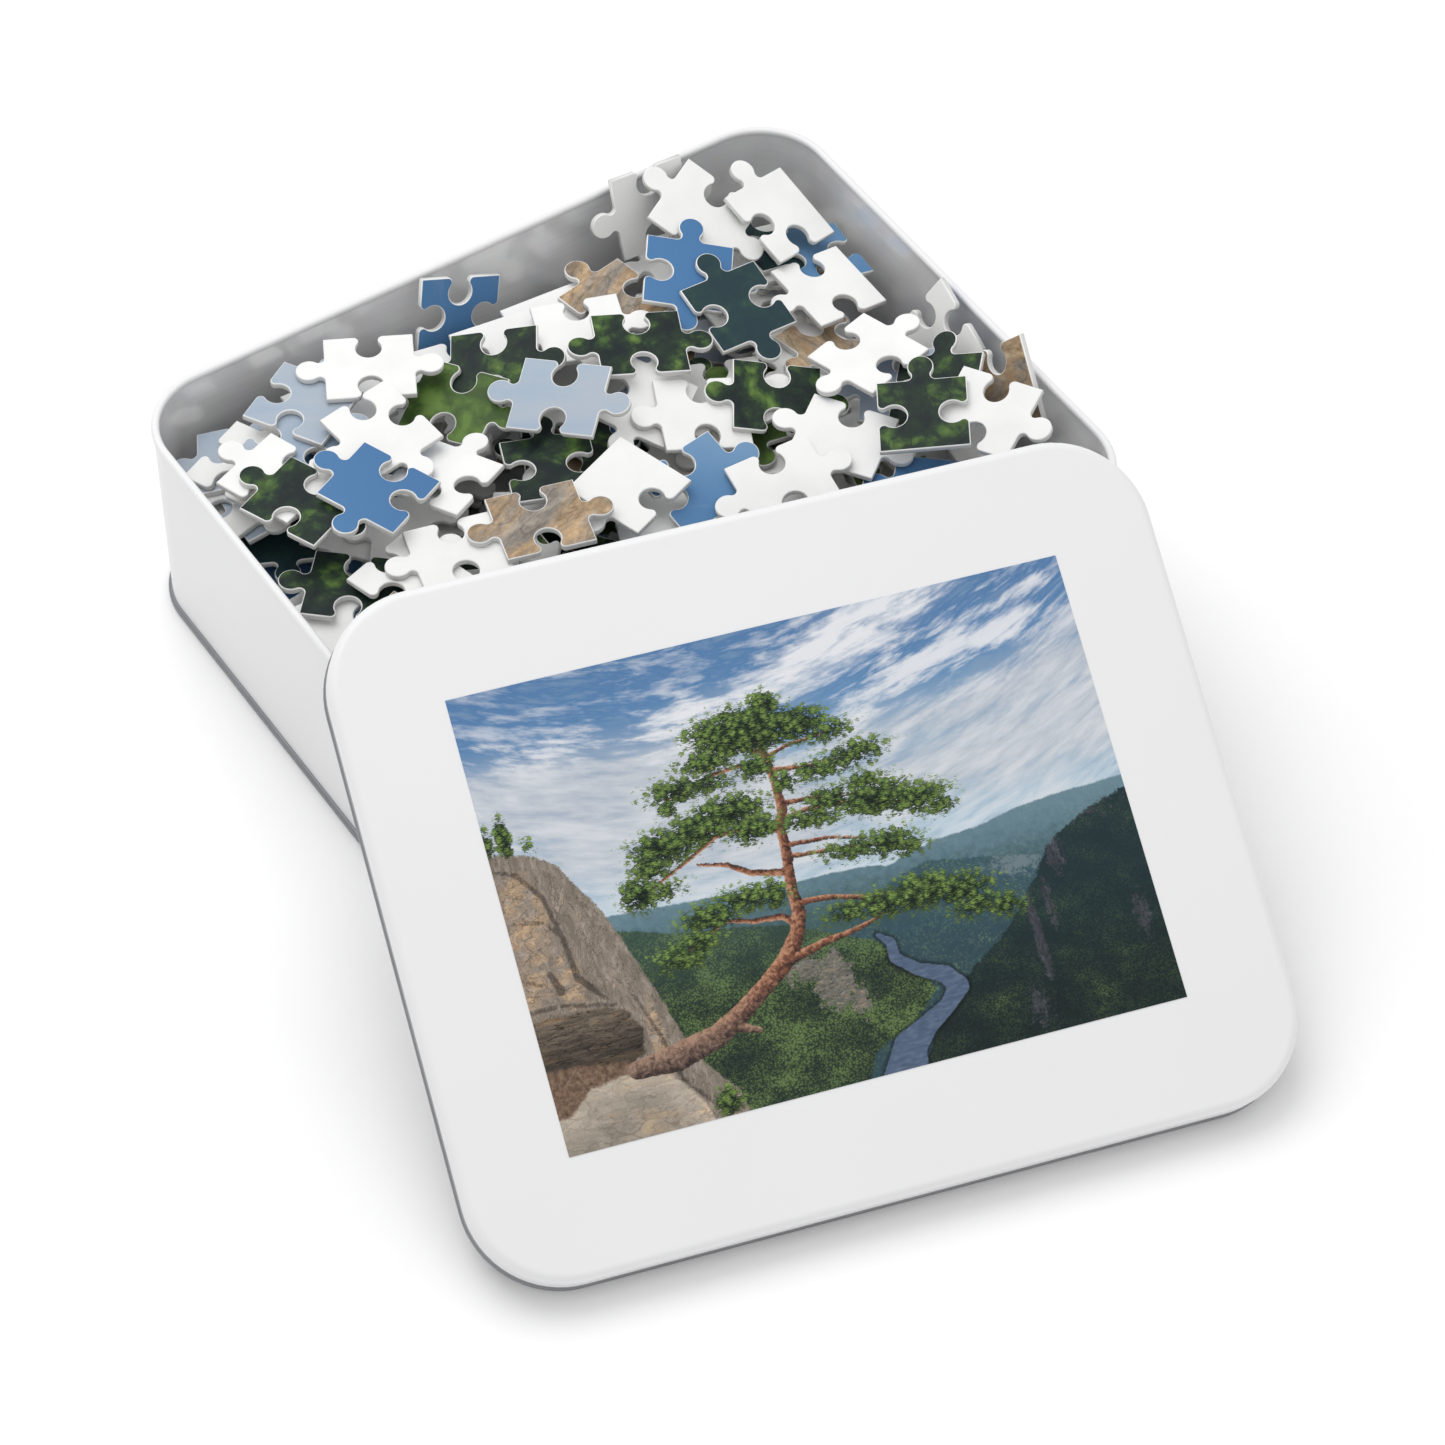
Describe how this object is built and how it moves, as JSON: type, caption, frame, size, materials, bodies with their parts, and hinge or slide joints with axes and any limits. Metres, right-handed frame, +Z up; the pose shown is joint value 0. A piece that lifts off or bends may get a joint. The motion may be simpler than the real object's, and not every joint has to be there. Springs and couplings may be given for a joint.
{
  "type": "boxed jigsaw puzzle",
  "caption": "Boxed jigsaw puzzle: deep rounded rectangular tin heaped with loose interlocking pieces, its shallow printed lid leaning against it",
  "frame": {"origin": "middle of the tin's base, on the table it stands on", "axes": "+Z up, X along the tin's long side, the lid leaning at the -Y side"},
  "size_m": [0.2716, 0.3347, 0.0988],
  "materials": {
    "base_metal": "plain tinplate",
    "board_back": "white paper back",
    "board_cloud": "printed cloud",
    "board_dark_forest": "printed far forest",
    "board_foliage": "printed foliage",
    "board_forest": "printed forest",
    "board_rock": "printed rock",
    "board_sky": "printed sky",
    "printed_picture": "printed landscape, satin",
    "raw_edge": "rolled raw edge",
    "white_enamel": "satin white enamel on tinplate"
  },
  "bodies": {
    "tin": {"back_piece_back_edge": "board_back", "back_piece_back_left": "board_back", "back_piece_back_wall": "board_back", "back_piece_corner": "board_back", "back_piece_far": "board_back", "back_piece_front": "board_back", "back_piece_left": "board_back", "back_piece_left_front": "board_back", "back_piece_left_low": "board_back", "back_piece_left_wall": "board_back", "back_piece_low_a": "board_back", "back_piece_low_b": "board_back", "back_piece_low_c": "board_back", "back_piece_ridge": "board_back", "back_piece_right": "board_back", "back_piece_right_low": "board_back", "back_piece_right_top": "board_back", "back_piece_right_wall": "board_back", "back_piece_stack_a": "board_back", "back_piece_stack_b": "board_back", "back_piece_stack_c": "board_back", "back_piece_stack_d": "board_back", "buried_pieces_a": "board_back", "buried_pieces_b": "board_back", "buried_pieces_c": "board_back", "buried_pieces_d": "board_back", "buried_pieces_e": "board_back", "buried_pieces_f": "board_back", "cloud_piece_left": "board_cloud", "foliage_piece": "board_foliage", "forest_piece_left": "board_forest", "forest_piece_left_wall": "board_forest", "forest_piece_middle": "board_forest", "forest_piece_right": "board_forest", "forest_piece_right_low": "board_forest", "forest_piece_small": "board_forest", "forest_piece_under": "board_forest", "rock_piece_left": "board_rock", "rock_piece_middle": "board_rock", "rock_piece_right": "board_rock", "rock_piece_right_wall": "board_rock", "sky_piece_back": "board_sky", "sky_piece_back_left": "board_sky", "sky_piece_corner": "board_sky", "sky_piece_leaning": "board_sky", "sky_piece_low": "board_sky", "sky_piece_middle": "board_sky", "sky_piece_right": "board_sky", "tin_base": "base_metal", "tin_wall": "white_enamel"},
    "lid": {"lid_shell": "white_enamel", "lid_curl": "raw_edge", "lid_picture": "printed_picture"},
    "sky_piece_left": {"sky_piece_left": "board_sky"},
    "cloud_piece": {"cloud_piece": "board_cloud"},
    "back_piece_back_corner": {"back_piece_back_corner": "board_back"},
    "dark_forest_piece": {"dark_forest_piece": "board_dark_forest"},
    "forest_piece_front": {"forest_piece_front": "board_forest"},
    "back_piece_middle": {"back_piece_middle": "board_back"},
    "rock_piece": {"rock_piece": "board_rock"}
  },
  "joints": [
    {"name": "lid_lift", "type": "slide", "parent": "tin", "child": "lid", "axis": [0, 0, 1], "range_m": [0, 0.12]},
    {"name": "sky_piece_left_lift", "type": "slide", "parent": "tin", "child": "sky_piece_left", "axis": [0, 0, 1], "range_m": [0, 0.06]},
    {"name": "cloud_piece_lift", "type": "slide", "parent": "tin", "child": "cloud_piece", "axis": [0, 0, 1], "range_m": [0, 0.06]},
    {"name": "back_piece_back_corner_lift", "type": "slide", "parent": "tin", "child": "back_piece_back_corner", "axis": [0, 0, 1], "range_m": [0, 0.06]},
    {"name": "dark_forest_piece_lift", "type": "slide", "parent": "tin", "child": "dark_forest_piece", "axis": [0, 0, 1], "range_m": [0, 0.06]},
    {"name": "forest_piece_front_lift", "type": "slide", "parent": "tin", "child": "forest_piece_front", "axis": [0, 0, 1], "range_m": [0, 0.06]},
    {"name": "back_piece_middle_lift", "type": "slide", "parent": "tin", "child": "back_piece_middle", "axis": [0, 0, 1], "range_m": [0, 0.06]},
    {"name": "rock_piece_lift", "type": "slide", "parent": "tin", "child": "rock_piece", "axis": [0, 0, 1], "range_m": [0, 0.06]}
  ]
}
